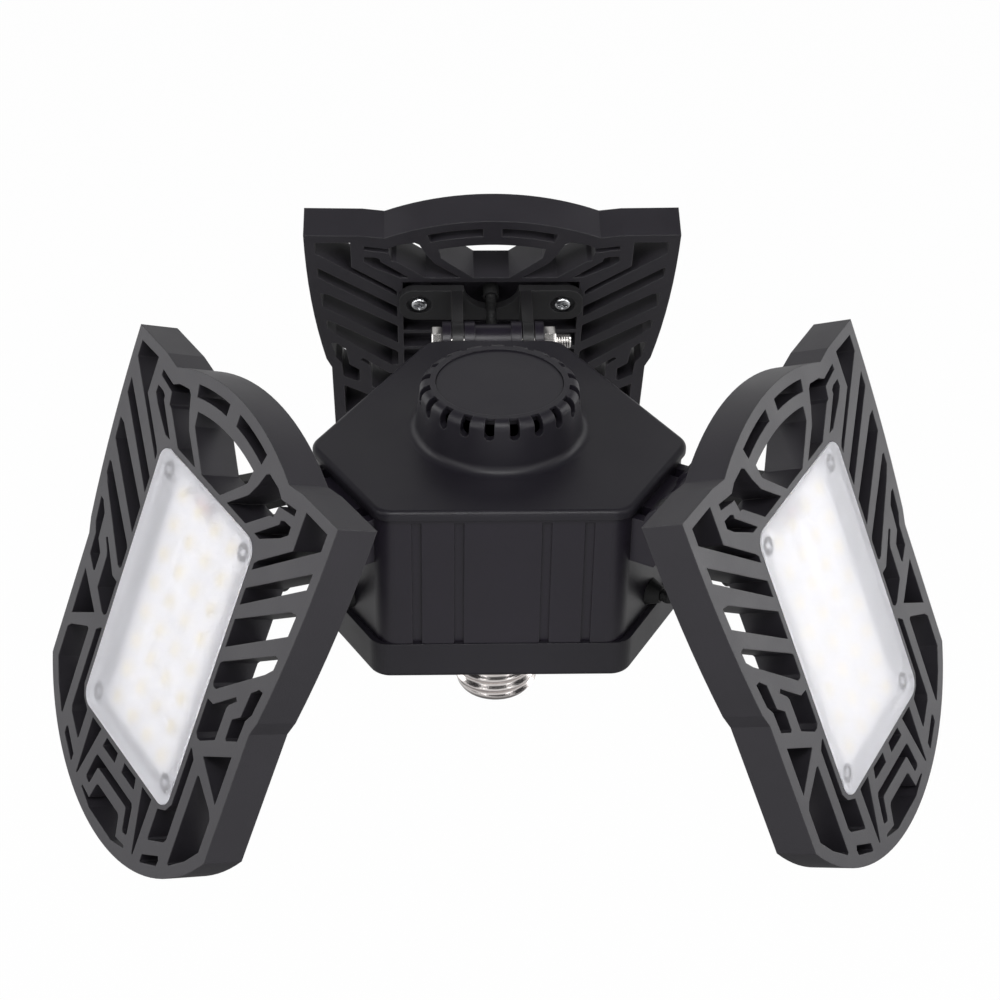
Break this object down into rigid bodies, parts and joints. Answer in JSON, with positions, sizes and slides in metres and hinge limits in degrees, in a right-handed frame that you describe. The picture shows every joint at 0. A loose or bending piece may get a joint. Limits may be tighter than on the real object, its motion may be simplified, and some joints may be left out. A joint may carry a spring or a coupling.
{
  "type": "deformable garage light",
  "caption": "Screw-in ceiling light: a six-sided black body with a vented dome carries hinged light panels with pierced heat sinks and frosted lenses.",
  "frame": {"origin": "centre of the seat face where the neck meets the rim of the screw shell, on the lamp axis", "axes": "+Z from the lamp base up through the body to the dome, +Y towards the hinge side of the back panel, so the left panel's side faces 210 degrees and the right panel's 330 degrees"},
  "size_m": [0.2722, 0.243, 0.1396],
  "materials": {
    "cover_plastic": "satin black moulded plastic",
    "dome_plastic": "matt black moulded plastic",
    "housing_plastic": "semi-gloss black moulded plastic",
    "screw_zinc": "bright zinc-plated steel",
    "shell_nickel": "bright nickel-plated shell",
    "insulator_black": "black moulded insulator",
    "contact_brass": "plain brass",
    "board_green": "green solder-masked circuit board",
    "coil_tape": "yellow tape over a wound core",
    "capacitor_sleeve": "plain dark sleeve",
    "bolt_steel": "bright nickel-plated steel",
    "sink_paint": "die-cast aluminium, fine black paint",
    "board_white": "aluminium circuit board, white solder mask",
    "chip_yellow": "yellow phosphor chips",
    "seal_rubber": "pale silicone seal",
    "lens_frosted": "frosted white moulded lens",
    "bracket_paint": "black painted pressed steel",
    "cable_rubber": "black rubber sheath"
  },
  "bodies": {
    "body": {"top_cover": "cover_plastic", "dome_disc": "dome_plastic", "housing": "housing_plastic", "bottom_cover": "cover_plastic", "cover_screws": "screw_zinc", "screw_shell": "shell_nickel", "base_insulator": "insulator_black", "centre_contact": "contact_brass", "driver_board": "board_green", "transformer": "coil_tape", "capacitors": "capacitor_sleeve", "hinge_bolt_back": "bolt_steel", "hinge_bolt_left": "bolt_steel", "hinge_bolt_right": "bolt_steel", "hinge_nut_back": "bolt_steel", "hinge_nut_left": "bolt_steel", "hinge_nut_right": "bolt_steel", "grommet_back": "cable_rubber", "grommet_left": "cable_rubber", "grommet_right": "cable_rubber", "cable_back": "cable_rubber", "cable_left": "cable_rubber", "cable_right": "cable_rubber"},
    "back_panel": {"heatsink_back": "sink_paint", "led_board_back": "board_white", "led_chips_back": "chip_yellow", "lens_seal_back": "seal_rubber", "lens_back": "lens_frosted", "bracket_back": "bracket_paint", "bracket_screws_back": "screw_zinc", "gland_back": "cable_rubber"},
    "left_panel": {"heatsink_left": "sink_paint", "led_board_left": "board_white", "led_chips_left": "chip_yellow", "lens_seal_left": "seal_rubber", "lens_left": "lens_frosted", "bracket_left": "bracket_paint", "bracket_screws_left": "screw_zinc", "gland_left": "cable_rubber"},
    "right_panel": {"heatsink_right": "sink_paint", "led_board_right": "board_white", "led_chips_right": "chip_yellow", "lens_seal_right": "seal_rubber", "lens_right": "lens_frosted", "bracket_right": "bracket_paint", "bracket_screws_right": "screw_zinc", "gland_right": "cable_rubber"}
  },
  "joints": [
    {"name": "back_panel_tilt", "type": "hinge", "parent": "body", "child": "back_panel", "pos_m": [0, 0.061, 0.0654], "axis": [1, 0, 0], "range_deg": [-50.2, 69.8], "deforming": ["cable_back"]},
    {"name": "left_panel_tilt", "type": "hinge", "parent": "body", "child": "left_panel", "pos_m": [-0.05283, -0.0305, 0.0654], "axis": [-0.5, 0.866, 0], "range_deg": [-52.3, 67.7], "deforming": ["cable_left"]},
    {"name": "right_panel_tilt", "type": "hinge", "parent": "body", "child": "right_panel", "pos_m": [0.05283, -0.0305, 0.0654], "axis": [-0.5, -0.866, 0], "range_deg": [-53.9, 66.1], "deforming": ["cable_right"]}
  ]
}
